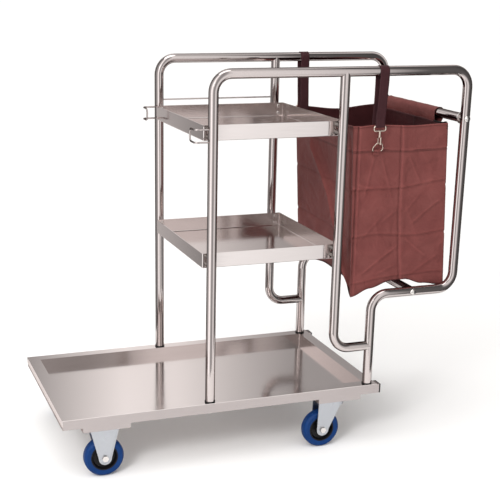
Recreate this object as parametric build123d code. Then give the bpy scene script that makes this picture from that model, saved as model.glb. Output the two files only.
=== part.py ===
from build123d import *
import math
import os

# Housekeeping cart. All sizes in millimetres, +X towards the bag end, +Z up.
# Lengths along X are first counted from the front end of the base rails; finish()
# moves every piece so the frame's origin is on the floor under the middle.

# Base frame
base_length = 882.0
base_width = 494.0
rail_width = 30.0
rail_height = 25.0
rail_wall = 1.5
deck_height = 171.0
rear_overhang = 12.0
end_cap_thickness = 4.5
end_cap_depth = 12.0
plug_clearance = 0.1

# Sheet metal
sheet = 1.2
sheet_gap = 0.2
pan_depth = 24.6
pan_front_lip = 17.0
pan_bend_radius = 2.0

# Tube frames
tube_diameter = 25.0
tube_wall = 1.5
tube_bend = 45.0
front_post_x = 392.0
inner_post_x = 739.0
rear_post_x = 846.0
drop_x = 1090.0
top_rail_z = 1011.0
lower_run_z = 425.0
inner_run_z = 281.5

# Post feet
foot_plug_length = 22.0
foot_bolt_radius = 4.0
foot_bolt_head = 6.5
foot_bolt_head_height = 5.3
foot_collar_radius = tube_diameter / 2 + 1.3
foot_collar_height = 3.0

# Cross bars between the frames
push_bar_z = 885.0
lower_bar_x = 965.0
bar_plug_length = 22.0
bar_bolt_radius = 4.0
bar_bolt_reach = 18.0
dome_radius = 8.5
dome_height = 5.0
collar_radius = tube_diameter / 2 + 3.0
collar_length = 6.0

# Shelves
shelf_front_x = 376.4
shelf_length = 377.6
shelf_half_width = 203.5
shelf_side_height = 38.5
shelf_corner_radius = 3.0
shelf_bend_radius = 3.0
top_shelf_z = 847.0
middle_shelf_z = 525.0
shelf_screw_radius = 1.95
shelf_screw_head = 5.0
shelf_screw_head_height = 2.8
shelf_screw_rounding = 1.2
shelf_screw_spread = 20.0
shelf_spacer_radius = 6.0
shelf_screw_bite = 4.0

# Guard rod on the far side and tool hooks on the front posts
guard_radius = 2.0
guard_z = 899.0
hook_radius = 2.25
hook_upper_z = 879.0
hook_lower_z = 848.0
hook_reach_x = 46.0
hook_reach_y = 40.0
hook_bend = 10.0

# Caster cross members
member_length_x = 124.0
member_height = 13.0
member_wall = 2.0
front_member_x = 113.0
rear_member_x = 760.0

# Casters
wheel_radius = 52.0
tyre_width = 30.0
hub_radius = 35.5
hub_width = 32.0
hub_lip = 3.0
bush_radius = 7.0
axle_radius = 4.0
running_clearance = 0.05
side_gap = 2.0
fork_sheet = 2.5
caster_y = base_width / 2 - 29.0
fixed_wheel_x = 109.0
swivel_x = 757.0
swivel_trail = 40.0
plate_length = 110.0
plate_width = 54.0
plate_thickness = 3.0
plate_bolt_x = 45.0
plate_bolt_y = 10.0
plate_bolt_radius = 3.0
plate_bolt_head = 5.6
plate_bolt_head_height = 4.0
fixed_leg_top = 78.0
fixed_flare = 7.0
fixed_flare_drop = 20.0
fork_rim_width = 3.5
fork_rim_height = 1.0
fork_eye_radius = 17.0
race_outer = 26.0
race_inner = 17.0
race_height = 9.0
crown_height = 10.0
swivel_gap = 0.4
kingpin_radius = 6.0
kingpin_head = 10.0
kingpin_head_height = 6.0
raked_leg_front = 15.0
raked_leg_width = 69.0
axle_head_radius = 8.5
axle_head_height = 5.0
axle_nut_height = 6.5

# Bag: its two long sides differ a little, so each has its own edge positions
bag_half_width = base_width / 2 - 30.0
bag_wall = 3.0
bag_top_z = 873.0
bag_front_near = 775.0
bag_front_far = 801.0
bag_rear_near = 1049.0
bag_rear_far = 1071.0
bag_front_bottom_near = 791.0
bag_front_bottom_far = 826.0
bag_rear_bottom_near = 1070.0
bag_rear_bottom_far = 1076.0
bag_droop_front = 418.0
bag_droop_rear = 428.0
bag_rest_front = 938.0
bag_rest_rear = 992.0
bag_bar_gap = 0.5

# Rear flap and sleeve over the push bar
sleeve_wall = 2.2
sleeve_gap = 0.3
sleeve_sag = 12.0
flap_rise = 5.0
flap_thickness = 2.5
sleeve_near_y = -100.0
sleeve_far_y = 186.0

# Bag straps and snap hooks
strap_near_x = 842.0
strap_far_x = 826.0
strap_width = 25.0
strap_thickness = 2.0
strap_gap = 0.3
strap_inside_depth = 38.0
eye_z = 873.0
eye_y = base_width / 2 - 13.5
eye_wire = 2.0
eye_width = 33.0
eye_height = 12.0
eye_bend = 4.5
snap_stem_radius = 3.2
snap_stem_length = 15.0
snap_wire = 2.0
snap_width = 14.0
snap_height = 19.0
snap_bend = 6.9
gate_radius = 1.4
gate_gap = 0.3
gate_tip_share = 0.42
gate_pin_radius = 0.7
gate_ear = 1.0
gate_ear_half = 1.7
ring_wire = 1.6
ring_width = 28.0
ring_height = 20.0
ring_shoulder = 10.0
ring_base_z = 809.0
ring_base_y = bag_half_width + 6.5
ring_bend = 3.5
ring_top_half = 7.5
tab_length = 12.0
tab_width = 17.0
tab_thickness = 3.2

# Sizes that follow from those above
rail_y = base_width / 2 - rail_width / 2
tube_radius = tube_diameter / 2
tube_bore = tube_radius - tube_wall
rail_under = deck_height - rail_height
deck_top = deck_height + sheet
member_under = rail_under - member_height
plate_top = rail_under - member_wall
plate_under = plate_top - plate_thickness
fork_half = hub_width / 2 + side_gap
rear_rail_x = base_length - rear_overhang - rail_width
bar_inner_y = rail_y - tube_radius
sleeve_inner = tube_radius + sleeve_gap
sleeve_outer = sleeve_inner + sleeve_wall
overall_front = -sheet
overall_rear = drop_x + max(sleeve_outer, collar_radius)
origin_x = (overall_front + overall_rear) / 2
parts = {}


def box(x0, x1, y0, y1, z0, z1):
    """Block between two corners."""
    block = Box(x1 - x0, y1 - y0, z1 - z0)
    return Pos((x0 + x1) / 2, (y0 + y1) / 2, (z0 + z1) / 2) * block


def rod(start, end, radius):
    """Solid round rod between two points."""
    axis = Vector(*end) - Vector(*start)
    plane = Plane(origin=start, z_dir=axis)
    return extrude(plane * Circle(radius), axis.length)


def rounded_path(points, radius):
    """Wire through the points with each inner corner rounded."""
    edges = []
    last = Vector(*points[0])
    for before, corner, after in zip(points, points[1:], points[2:]):
        here = Vector(*corner)
        back = (Vector(*before) - here).normalized()
        ahead = (Vector(*after) - here).normalized()
        half = math.radians(back.get_angle(ahead)) / 2
        reach = radius / math.tan(half)
        middle = (back + ahead).normalized()
        centre = here + middle * (radius / math.sin(half))
        enter = here + back * reach
        leave = here + ahead * reach
        if (enter - last).length > 1e-4:
            edges.append(Edge.make_line(last, enter))
        edges.append(Edge.make_three_point_arc(enter, centre - middle * radius, leave))
        last = leave
    end = Vector(*points[-1])
    if (end - last).length > 1e-4:
        edges.append(Edge.make_line(last, end))
    return Wire(edges)


def round_sweep(points, bend, radius):
    """Solid round bar along a rounded path."""
    path = rounded_path(points, bend)
    plane = Plane(origin=path @ 0, z_dir=path % 0)
    return sweep(plane * Circle(radius), path=path)


def both_sides(piece):
    """The piece and its mirror image on the far side."""
    return [piece, mirror(piece, about=Plane.XZ)]


def add(name, solids):
    """Keep one node's solids, moved to the frame's origin."""
    found = []
    for item in solids if isinstance(solids, list) else [solids]:
        found.extend(item.solids())
    parts[name] = Compound([Pos(-origin_x, 0, 0) * solid for solid in found])


def cut(piece, tools):
    """Piece with every tool taken away."""
    for tool in tools:
        piece = piece - tool
    return piece


def post_positions():
    """Foot bolt positions: (x, y) of every post."""
    return [(x, side * rail_y) for x in (front_post_x, rear_post_x) for side in (-1, 1)]


def screw_positions():
    """Shelf screw axes: (x, side, z)."""
    found = []
    for floor in (top_shelf_z, middle_shelf_z):
        for step in (-0.5, 0.5):
            z = floor + shelf_side_height / 2 + step * shelf_screw_spread
            for x in (front_post_x, inner_post_x):
                for side in (-1, 1):
                    found.append((x, side, z))
    return found


def foot_holes():
    """Clearance for the foot bolts through rail and pan."""
    low = rail_under - 1
    return [rod((x, y, low), (x, y, deck_top + 1), foot_bolt_radius) for x, y in post_positions()]


def make_rails():
    """Two side rails and the two cross rails between them."""
    outer = box(0, base_length - end_cap_thickness, -base_width / 2, -base_width / 2 + rail_width,
                rail_under, deck_height)
    inner = box(rail_wall, base_length, -base_width / 2 + rail_wall,
                -base_width / 2 + rail_width - rail_wall, rail_under + rail_wall,
                deck_height - rail_wall)
    near = cut(outer - inner, foot_holes())
    add("side_rail_near", near)
    add("side_rail_far", mirror(near, about=Plane.XZ))
    inner_edge = rail_y - rail_width / 2
    for name, x0 in (("cross_rail_front", 0.0), ("cross_rail_rear", rear_rail_x)):
        outer = box(x0, x0 + rail_width, -inner_edge, inner_edge, rail_under, deck_height)
        inner = box(x0 + rail_wall, x0 + rail_width - rail_wall, -base_width, base_width,
                    rail_under + rail_wall, deck_height - rail_wall)
        add(name, outer - inner)


def make_end_caps():
    """Plastic plugs in the open rear ends of the side rails."""
    face = base_length - end_cap_thickness
    flange = box(face, base_length, -base_width / 2, -base_width / 2 + rail_width,
                 rail_under, deck_height)
    flange = fillet(flange.faces().sort_by(Axis.X)[-1].edges(), 1.2)
    inset = rail_wall + plug_clearance
    plug = box(face - end_cap_depth, face, -base_width / 2 + inset,
               -base_width / 2 + rail_width - inset, rail_under + inset, deck_height - inset)
    hollow = box(face - end_cap_depth - 1, face - 2, -base_width / 2 + inset + 2,
                 -base_width / 2 + rail_width - inset - 2, rail_under + inset + 2,
                 deck_height - inset - 2)
    add("rail_end_caps", both_sides(flange + (plug - hollow)))


def make_pan():
    """Pressed deck pan: flange on the rails, recess between them, lip over the front."""
    x0 = rail_width + sheet_gap
    x1 = rear_rail_x - sheet_gap
    y1 = rail_y - rail_width / 2 - sheet_gap
    flange = box(-sheet, rear_rail_x + rail_width, -base_width / 2, base_width / 2,
                 deck_height, deck_top)
    recess = box(x0, x1, -y1, y1, deck_top - pan_depth, deck_top)
    hollow = box(x0 + sheet, x1 - sheet, -y1 + sheet, y1 - sheet,
                 deck_top - pan_depth + sheet, deck_top + 1)
    hollow = fillet(hollow.edges().filter_by(Axis.Z), pan_bend_radius)
    lip = box(-sheet, 0, -base_width / 2, base_width / 2, deck_top - pan_front_lip, deck_top)
    add("base_pan", cut((flange + recess + lip) - hollow, foot_holes()))


def frame_path(side):
    """Corner points of one side frame's centreline."""
    y = side * rail_y
    return [
        (front_post_x, y, deck_top),
        (front_post_x, y, top_rail_z),
        (drop_x, y, top_rail_z),
        (drop_x, y, lower_run_z),
        (rear_post_x, y, lower_run_z),
        (rear_post_x, y, deck_top),
    ]


def inner_post_path(side):
    """Corner points of the inner post's centreline."""
    y = side * rail_y
    return [
        (inner_post_x, y, top_rail_z),
        (inner_post_x, y, inner_run_z),
        (rear_post_x, y, inner_run_z),
    ]


def frame_drillings():
    """Holes in the frames for screws and cross bar bolts."""
    found = []
    for x, side, z in screw_positions():
        found.append(rod((x, 0, z), (x, side * rail_y, z), shelf_screw_radius))
    for x, z in ((drop_x, push_bar_z), (lower_bar_x, lower_run_z)):
        found.append(rod((x, -base_width, z), (x, base_width, z), bar_bolt_radius))
    return found


def make_side_frames():
    """Each side's bent frame tube and the inner post welded into it."""
    holes = frame_drillings()
    outer = round_sweep(frame_path(-1), tube_bend, tube_radius)
    bore = round_sweep(frame_path(-1), tube_bend, tube_bore)
    near = cut(outer - bore, holes)
    add("side_frame_near", near)
    add("side_frame_far", mirror(near, about=Plane.XZ))
    post = round_sweep(inner_post_path(-1), tube_bend, tube_radius)
    post_bore = round_sweep(inner_post_path(-1), tube_bend, tube_bore)
    rail = rod((inner_post_x - 60, -rail_y, top_rail_z), (inner_post_x + 60, -rail_y, top_rail_z),
               tube_radius)
    upright = rod((rear_post_x, -rail_y, inner_run_z - 60), (rear_post_x, -rail_y, inner_run_z + 60),
                  tube_radius)
    inner = cut(post - post_bore, [rail, upright] + holes)
    inner = max(inner.solids(), key=lambda solid: solid.volume)
    add("inner_post_near", inner)
    add("inner_post_far", mirror(inner, about=Plane.XZ))


def make_feet():
    """Threaded plugs in the post feet, their bolts and the plastic foot collars."""
    plugs = []
    bolts = []
    collars = []
    for x, y in post_positions():
        plug = rod((x, y, deck_top), (x, y, deck_top + foot_plug_length), tube_bore)
        shank = rod((x, y, rail_under), (x, y, deck_top + foot_plug_length - 4), foot_bolt_radius)
        plugs.append(plug - shank)
        head_low = rail_under - foot_bolt_head_height
        head = Pos(x, y, head_low) * extrude(RegularPolygon(foot_bolt_head, 6), foot_bolt_head_height)
        bolts.append(shank + head)
        collar = rod((x, y, deck_top), (x, y, deck_top + foot_collar_height), foot_collar_radius)
        collars.append(collar - rod((x, y, 0), (x, y, deck_top + 60), tube_radius))
    add("post_plugs", plugs)
    add("post_bolts", bolts)
    add("post_collars", collars)


def make_cross_bars():
    """Push bar and lower bar between the frames, with plugs, collars and dome bolts."""
    plugs = []
    bolts = []
    frames = {
        "push_bar": (drop_x, push_bar_z, (0, 0, 60)),
        "lower_bar": (lower_bar_x, lower_run_z, (60, 0, 0)),
    }
    for name, (x, z, along) in frames.items():
        tubes = []
        for side in (-1, 1):
            centre = Vector(x, side * rail_y, z)
            tubes.append(rod(tuple(centre - Vector(*along)), tuple(centre + Vector(*along)), tube_radius))
        bar = rod((x, -rail_y, z), (x, rail_y, z), tube_radius)
        bore = rod((x, -rail_y, z), (x, rail_y, z), tube_bore)
        add(name, cut(bar, [bore] + tubes))
        for side in (-1, 1):
            inner = side * (bar_inner_y - bar_bolt_reach)
            outer = side * (rail_y + tube_radius)
            shank = rod((x, inner, z), (x, outer, z), bar_bolt_radius)
            plug = rod((x, side * (bar_inner_y - bar_plug_length), z), (x, side * (bar_inner_y - 1), z),
                       tube_bore)
            plugs.append(plug - shank)
            sphere_radius = (dome_radius ** 2 + dome_height ** 2) / (2 * dome_height)
            ball = Pos(x, outer + side * (dome_height - sphere_radius), z) * Sphere(sphere_radius)
            keep = box(x - 20, x + 20, min(outer, outer + side * 20), max(outer, outer + side * 20),
                       z - 20, z + 20)
            stub = rod((x, outer - side * 3, z), (x, outer, z), dome_radius)
            washer = cut(stub, tubes)
            bolts.append(shank + (ball & keep) + washer)
    add("bar_plugs", plugs)
    add("bar_bolts", bolts)
    ends = []
    for side in (-1, 1):
        inner = side * (bar_inner_y - collar_length)
        ring = rod((drop_x, inner, push_bar_z), (drop_x, side * bar_inner_y, push_bar_z), collar_radius)
        ends.append(ring - rod((drop_x, -base_width, push_bar_z), (drop_x, base_width, push_bar_z),
                               tube_radius))
    add("push_bar_collars", ends)


def make_shelf(name, floor):
    """Open folded tray with screw holes in its long sides."""
    x1 = shelf_front_x + shelf_length
    outer = box(shelf_front_x, x1, -shelf_half_width, shelf_half_width, floor,
                floor + shelf_side_height)
    outer = fillet(outer.edges().filter_by(Axis.Z), shelf_corner_radius)
    outer = fillet(outer.edges().group_by(Axis.Z)[0], shelf_bend_radius)
    inner = box(shelf_front_x + sheet, x1 - sheet, -shelf_half_width + sheet,
                shelf_half_width - sheet, floor + sheet, floor + shelf_side_height + 1)
    inner = fillet(inner.edges().filter_by(Axis.Z), shelf_corner_radius - sheet)
    inner = fillet(inner.edges().group_by(Axis.Z)[0], shelf_bend_radius - sheet)
    holes = []
    for x, side, z in screw_positions():
        if floor < z < floor + shelf_side_height:
            holes.append(rod((x, side * (shelf_half_width - 10), z), (x, side * rail_y, z),
                             shelf_screw_radius))
    add(name, cut(outer - inner, holes))


def make_shelf_fixings():
    """Screws through each tray side and the spacer sleeves between tray and post."""
    screws = []
    spacers = []
    for x, side, z in screw_positions():
        inside = side * (shelf_half_width - sheet)
        tip = side * (bar_inner_y + shelf_screw_bite)
        shank = rod((x, inside, z), (x, tip, z), shelf_screw_radius)
        head = rod((x, inside - side * shelf_screw_head_height, z), (x, inside, z), shelf_screw_head)
        edge = head.faces().sort_by(Axis.Y)[0 if side > 0 else -1].edges()
        screws.append(fillet(edge, shelf_screw_rounding) + shank)
        sleeve = rod((x, side * shelf_half_width, z), (x, side * rail_y, z), shelf_spacer_radius)
        post = rod((x, side * rail_y, z - 40), (x, side * rail_y, z + 40), tube_radius)
        sleeve = cut(sleeve, [post, shank])
        spacers.append(max(sleeve.solids(), key=lambda solid: solid.volume))
    add("shelf_screws", screws)
    add("shelf_spacers", spacers)


def make_guard_and_hooks():
    """Guard rod above the far side of the top shelf and a tool hook on each front post."""
    posts = [rod((x, rail_y, guard_z - 40), (x, rail_y, guard_z + 40), tube_radius)
             for x in (front_post_x, inner_post_x)]
    guard = rod((front_post_x, rail_y, guard_z), (inner_post_x, rail_y, guard_z), guard_radius)
    add("guard_rod", cut(guard, posts))
    tip_x = front_post_x - hook_reach_x
    near_y = -rail_y
    tip_y = near_y + hook_reach_y
    points = [
        (front_post_x, near_y, hook_upper_z),
        (tip_x, near_y, hook_upper_z),
        (tip_x, tip_y, hook_upper_z),
        (tip_x, tip_y, hook_lower_z),
        (tip_x, near_y, hook_lower_z),
        (front_post_x, near_y, hook_lower_z),
    ]
    hook = round_sweep(points, hook_bend, hook_radius)
    hook = hook - rod((front_post_x, near_y, 700), (front_post_x, near_y, 950), tube_radius)
    add("tool_hook_near", hook)
    add("tool_hook_far", mirror(hook, about=Plane.XZ))


def make_member(name, x):
    """Caster cross member: shallow tray, open below, under both side rails."""
    half = member_length_x / 2
    outer = box(x - half, x + half, -base_width / 2, base_width / 2, member_under, rail_under)
    inner = box(x - half + member_wall, x + half - member_wall, -base_width / 2 + member_wall,
                base_width / 2 - member_wall, member_under - 1, plate_top)
    centre = fixed_wheel_x if name.endswith("front") else swivel_x
    holes = []
    for px in (-plate_bolt_x, plate_bolt_x):
        for py in (-plate_bolt_y, plate_bolt_y):
            for side in (-1, 1):
                spot = (centre + px, side * caster_y + py)
                holes.append(rod((*spot, plate_top - 1), (*spot, rail_under + 1), plate_bolt_radius))
    add(name, cut(outer - inner, holes))


def caster_plate(x, y):
    """Rounded top plate with its four holes."""
    plate = box(x - plate_length / 2, x + plate_length / 2, y - plate_width / 2,
                y + plate_width / 2, plate_under, plate_top)
    plate = fillet(plate.edges().filter_by(Axis.Z), 6)
    for px in (-plate_bolt_x, plate_bolt_x):
        for py in (-plate_bolt_y, plate_bolt_y):
            spot = (x + px, y + py)
            plate = plate - rod((*spot, plate_under - 1), (*spot, plate_top + 1), plate_bolt_radius)
    return plate


def make_plate_bolts():
    """Hex bolts that hold every caster plate."""
    bolts = []
    for centre in (fixed_wheel_x, swivel_x):
        for side in (-1, 1):
            for px in (-plate_bolt_x, plate_bolt_x):
                for py in (-plate_bolt_y, plate_bolt_y):
                    spot = (centre + px, side * caster_y + py)
                    shank = rod((*spot, plate_under), (*spot, rail_under), plate_bolt_radius)
                    low = plate_under - plate_bolt_head_height
                    head = extrude(RegularPolygon(plate_bolt_head, 6), plate_bolt_head_height)
                    bolts.append(shank + Pos(*spot, low) * head)
    add("caster_bolts", bolts)


def leg_pair(profile, y):
    """Two fork legs of one profile, either side of the wheel."""
    legs = []
    for inner in (fork_half, -fork_half - fork_sheet):
        plane = Plane(origin=(0, y + inner + fork_sheet, 0), x_dir=(1, 0, 0), z_dir=(0, -1, 0))
        legs.append(extrude(plane * profile, fork_sheet))
    return legs


def axle_hole(x, y):
    """Hole for the axle through both fork legs."""
    return rod((x, y - 40, wheel_radius), (x, y + 40, wheel_radius), axle_radius)


def tapered_leg(left, right, top, eye_x, eye):
    """Leg outline: straight top edge, sides running down to the eye round the axle."""
    upper = Polyline((left, top), (right, top), (eye_x + eye, wheel_radius),
                     (eye_x - eye, wheel_radius), close=True)
    return make_face(upper) + Pos(eye_x, wheel_radius) * Circle(eye)


def fixed_leg_profiles():
    """Outline of a fixed fork's leg, flared at the top, and of the raised rim along its sides."""
    half = fixed_leg_top / 2
    eye = fork_eye_radius
    plain = tapered_leg(fixed_wheel_x - half, fixed_wheel_x + half, plate_under, fixed_wheel_x, eye)
    low = plate_under - fixed_flare_drop
    flare = make_face(Polyline(
        (fixed_wheel_x - half - fixed_flare, plate_under), (fixed_wheel_x + half + fixed_flare, plate_under),
        (fixed_wheel_x + half - fixed_flare, low), (fixed_wheel_x - half + fixed_flare, low), close=True,
    ))
    inset = half - fork_rim_width
    panel = tapered_leg(fixed_wheel_x - inset, fixed_wheel_x + inset, plate_under, fixed_wheel_x,
                        eye - fork_rim_width)
    return plain + flare, plain - panel


def make_fixed_casters():
    """Pressed fixed forks with their top plates."""
    forks = []
    profile, rim = fixed_leg_profiles()
    for side in (-1, 1):
        y = side * caster_y
        fork = caster_plate(fixed_wheel_x, y)
        for leg in leg_pair(profile, y):
            fork = fork + leg
        for outward in (-1, 1):
            face = y + outward * (fork_half + fork_sheet + fork_rim_height / 2)
            plane = Plane(origin=(0, face + fork_rim_height / 2, 0), x_dir=(1, 0, 0), z_dir=(0, -1, 0))
            fork = fork + extrude(plane * rim, fork_rim_height)
        forks.append(fork - axle_hole(fixed_wheel_x, y))
    add("fixed_fork_near", forks[0])
    add("fixed_fork_far", forks[1])


def make_swivel_casters():
    """Swivel head plates, kingpins and raked forks."""
    heads = []
    pins = []
    race_low = plate_under - race_height
    crown_top = race_low - swivel_gap
    crown_low = crown_top - crown_height
    for side, name in ((-1, "near"), (1, "far")):
        y = side * caster_y
        race = rod((swivel_x, y, race_low), (swivel_x, y, plate_under), race_outer)
        hollow = rod((swivel_x, y, race_low), (swivel_x, y, plate_under), race_inner)
        pin_hole = rod((swivel_x, y, 0), (swivel_x, y, plate_top + 1), kingpin_radius)
        head = (caster_plate(swivel_x, y) + (race - hollow)) - pin_hole
        heads.append(head)
        pin_low = crown_low - swivel_gap
        pin = rod((swivel_x, y, pin_low), (swivel_x, y, plate_top), kingpin_radius)
        button = rod((swivel_x, y, pin_low - kingpin_head_height), (swivel_x, y, pin_low), kingpin_head)
        pins.append(pin + button)
        x = swivel_x - swivel_trail
        profile = tapered_leg(swivel_x + raked_leg_front - raked_leg_width, swivel_x + raked_leg_front,
                              crown_top, x, fork_eye_radius)
        crown = rod((swivel_x, y, crown_low), (swivel_x, y, crown_top), race_outer - 1)
        web = box(swivel_x + raked_leg_front - raked_leg_width, swivel_x + raked_leg_front,
                  y - fork_half, y + fork_half, crown_top - 4, crown_top)
        fork = crown + web
        for leg in leg_pair(profile, y):
            fork = fork + leg
        bore = rod((swivel_x, y, 0), (swivel_x, y, plate_top), kingpin_radius + running_clearance)
        add(f"swivel_fork_{name}", cut(fork, [bore, axle_hole(x, y)]))
    add("swivel_plates", heads)
    add("kingpins", pins)


def axle_bolt(x, y, side):
    """Axle bolt with its head outside and lock nut inside."""
    outer = fork_half + fork_sheet
    shank = rod((x, y - side * outer, wheel_radius), (x, y + side * outer, wheel_radius), axle_radius)
    head_plane = Plane(origin=(x, y + side * outer, wheel_radius), x_dir=(1, 0, 0), z_dir=(0, side, 0))
    head = extrude(head_plane * RegularPolygon(axle_head_radius, 6), axle_head_height)
    nut_plane = Plane(origin=(x, y - side * outer, wheel_radius), x_dir=(1, 0, 0), z_dir=(0, -side, 0))
    nut = extrude(nut_plane * RegularPolygon(axle_head_radius, 6), axle_nut_height)
    return shank + head + nut


def make_axles():
    """Axle bolts of the fixed pair in one node, one node for each swivel caster."""
    add("fixed_axles", [axle_bolt(fixed_wheel_x, side * caster_y, side) for side in (-1, 1)])
    for side, name in ((-1, "near"), (1, "far")):
        add(f"swivel_axle_{name}", axle_bolt(swivel_x - swivel_trail, side * caster_y, side))


def turned(profile, x, y):
    """Profile of (radius, across) points turned about the axle at x, y."""
    plane = Plane(origin=(x, y, wheel_radius), x_dir=(1, 0, 0), z_dir=(0, 0, 1))
    face = plane * make_face(Polyline(*profile, close=True))
    axis = Axis((x, y, wheel_radius), (0, 1, 0))
    return revolve(face, axis=axis)


def make_wheel(name, x, y):
    """Tyre, hub and bush of one wheel."""
    half = tyre_width / 2
    tyre = [
        (hub_radius, -half + 1.5), (wheel_radius - 6, -half), (wheel_radius - 1.6, -half + 4),
        (wheel_radius, -half + 8), (wheel_radius, half - 8), (wheel_radius - 1.6, half - 4),
        (wheel_radius - 6, half), (hub_radius, half - 1.5),
    ]
    add(f"tyre_{name}", turned(tyre, x, y))
    edge = half - 1.5
    web = 6.0
    boss = bush_radius + 6
    hub_half = hub_width / 2
    hub = [
        (bush_radius, -hub_half), (boss, -hub_half), (boss + 2, -web), (hub_radius - 7, -web),
        (hub_radius - hub_lip, -edge), (hub_radius, -edge), (hub_radius, edge),
        (hub_radius - hub_lip, edge), (hub_radius - 7, web), (boss + 2, web),
        (boss, hub_half), (bush_radius, hub_half),
    ]
    add(f"hub_{name}", turned(hub, x, y))
    bore = axle_radius + running_clearance
    long_half = hub_half + side_gap - 0.3
    bush = [(bore, -long_half), (bush_radius, -long_half), (bush_radius, long_half), (bore, long_half)]
    add(f"bush_{name}", turned(bush, x, y))


def bag_shell(inset, top):
    """Closed bag shape between its near and far outlines, drawn in by inset."""
    rest = lower_run_z + tube_radius + bag_bar_gap + inset
    outlines = []
    for side, front, rear, low_front, low_rear in (
        (-1, bag_front_near, bag_rear_near, bag_front_bottom_near, bag_rear_bottom_near),
        (1, bag_front_far, bag_rear_far, bag_front_bottom_far, bag_rear_bottom_far),
    ):
        y = side * (bag_half_width - inset)
        points = [
            (front + inset, y, top),
            (low_front + inset, y, bag_droop_front + inset),
            (bag_rest_front, y, rest),
            (bag_rest_rear, y, rest),
            (low_rear - inset, y, bag_droop_rear + inset),
            (rear - inset, y, top),
        ]
        outlines.append(Wire.make_polygon([Vector(*p) for p in points], close=True))
    return Solid.make_loft(outlines, True)


def make_bag():
    """Open cloth bag hanging between the frames."""
    add("bag_body", bag_shell(0, bag_top_z) - bag_shell(bag_wall, bag_top_z + 1))


def make_sleeve():
    """Rear flap of the bag wrapped loosely round the push bar, hanging a little below it."""
    width = sleeve_far_y - sleeve_near_y
    plane = Plane(origin=(0, sleeve_far_y, 0), x_dir=(1, 0, 0), z_dir=(0, -1, 0))
    centre = Pos(drop_x, push_bar_z - sleeve_sag / 2)
    ring = plane * (centre * SlotCenterToCenter(sleeve_sag, 2 * sleeve_outer, rotation=90))
    hole = plane * (centre * SlotCenterToCenter(sleeve_sag, 2 * sleeve_inner, rotation=90))
    edge_x = (bag_rear_near + bag_rear_far) / 2
    low = bag_top_z + sleeve_gap
    flap = make_face(Polyline(
        (edge_x - flap_thickness, low),
        (edge_x, low),
        (drop_x - sleeve_inner, low + flap_rise - flap_thickness),
        (drop_x - sleeve_inner, low + flap_rise),
        close=True,
    ))
    solid = extrude(ring, width) + extrude(plane * flap, width)
    add("bag_sleeve", solid - extrude(hole, width))


def for_side(piece, name):
    """The piece itself for the near side, its mirror image for the far side."""
    return mirror(piece, about=Plane.XZ) if name == "far" else piece


def make_strap(name, x):
    """Webbing over one top rail, from inside the bag to the snap hook's eye."""
    reach = tube_radius + strap_gap + strap_thickness / 2
    inside = bag_half_width - bag_wall - strap_gap - strap_thickness / 2
    points = [
        (x, -inside, bag_top_z - strap_inside_depth),
        (x, -inside, bag_top_z + 12),
        (x, -(rail_y - reach), bag_top_z + 60),
        (x, -(rail_y - reach), top_rail_z + reach),
        (x, -(rail_y + reach), top_rail_z + reach),
        (x, -(rail_y + reach), top_rail_z - 30),
        (x, -eye_y, eye_z + eye_wire + strap_gap),
    ]
    path = rounded_path(points, reach - 0.05)
    plane = Plane(origin=path @ 0, x_dir=(1, 0, 0), z_dir=path % 0)
    band = sweep(plane * Rectangle(strap_width, strap_thickness), path=path)
    half = strap_width / 2
    loop = rod((x - half, -eye_y, eye_z), (x + half, -eye_y, eye_z),
               eye_wire + strap_gap + strap_thickness)
    core = rod((x - strap_width, -eye_y, eye_z), (x + strap_width, -eye_y, eye_z),
               eye_wire + strap_gap)
    add(f"strap_{name}", for_side((band + loop) - core, name))


def closed_loop(points, bend, radius):
    """Closed round-wire loop through the corner points."""
    start = tuple((Vector(*points[0]) + Vector(*points[1])) * 0.5)
    around = [start] + list(points[1:]) + [points[0], start]
    return round_sweep(around, bend, radius)


def make_snap_hook(name, x):
    """Snap hook: eye and stem, open hook and the sprung gate that closes it."""
    half = eye_width / 2
    low = eye_z - eye_height
    y = -eye_y
    eye = closed_loop([(x - half, y, eye_z), (x + half, y, eye_z), (x + half, y, low),
                       (x - half, y, low)], eye_bend, eye_wire)
    hook_top = low - eye_wire - snap_stem_length
    stem = rod((x, y, low), (x, y, hook_top), snap_stem_radius)
    neck_end = y + snap_width / 2 - snap_wire - 1
    head = rod((x, y - snap_width / 2, hook_top), (x, neck_end, hook_top), snap_wire)
    bottom = hook_top - snap_height
    hook = round_sweep([
        (x, y - snap_width / 2, hook_top + 0.2),
        (x, y - snap_width / 2, bottom),
        (x, y + snap_width / 2, bottom),
        (x, y + snap_width / 2, bottom + snap_height * gate_tip_share),
    ], snap_bend, snap_wire)
    cap = Pos(x, y - snap_width / 2, hook_top) * Sphere(snap_wire + 0.01)
    gate_y = y + snap_width / 2
    ear_in = gate_radius + gate_gap
    pin = rod((x - ear_in, gate_y, hook_top), (x + ear_in, gate_y, hook_top), gate_pin_radius)
    body = eye + stem + head + hook + cap + pin
    for step in (-ear_in - gate_ear, ear_in):
        body = body + box(x + step, x + step + gate_ear, neck_end - snap_wire,
                          gate_y + gate_ear_half, hook_top - gate_ear_half, hook_top + gate_ear_half)
    add(f"snap_hook_{name}", for_side(body, name))
    gate_low = bottom + snap_height * gate_tip_share + gate_gap
    gate = rod((x, gate_y, gate_low), (x, gate_y, hook_top), gate_radius)
    half_barrel = gate_radius + gate_gap / 2
    barrel = rod((x - half_barrel, gate_y, hook_top), (x + half_barrel, gate_y, hook_top),
                 gate_ear_half)
    bore = rod((x - 5, gate_y, hook_top), (x + 5, gate_y, hook_top),
               gate_pin_radius + running_clearance)
    add(f"snap_gate_{name}", for_side((gate + barrel) - bore, name))


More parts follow.
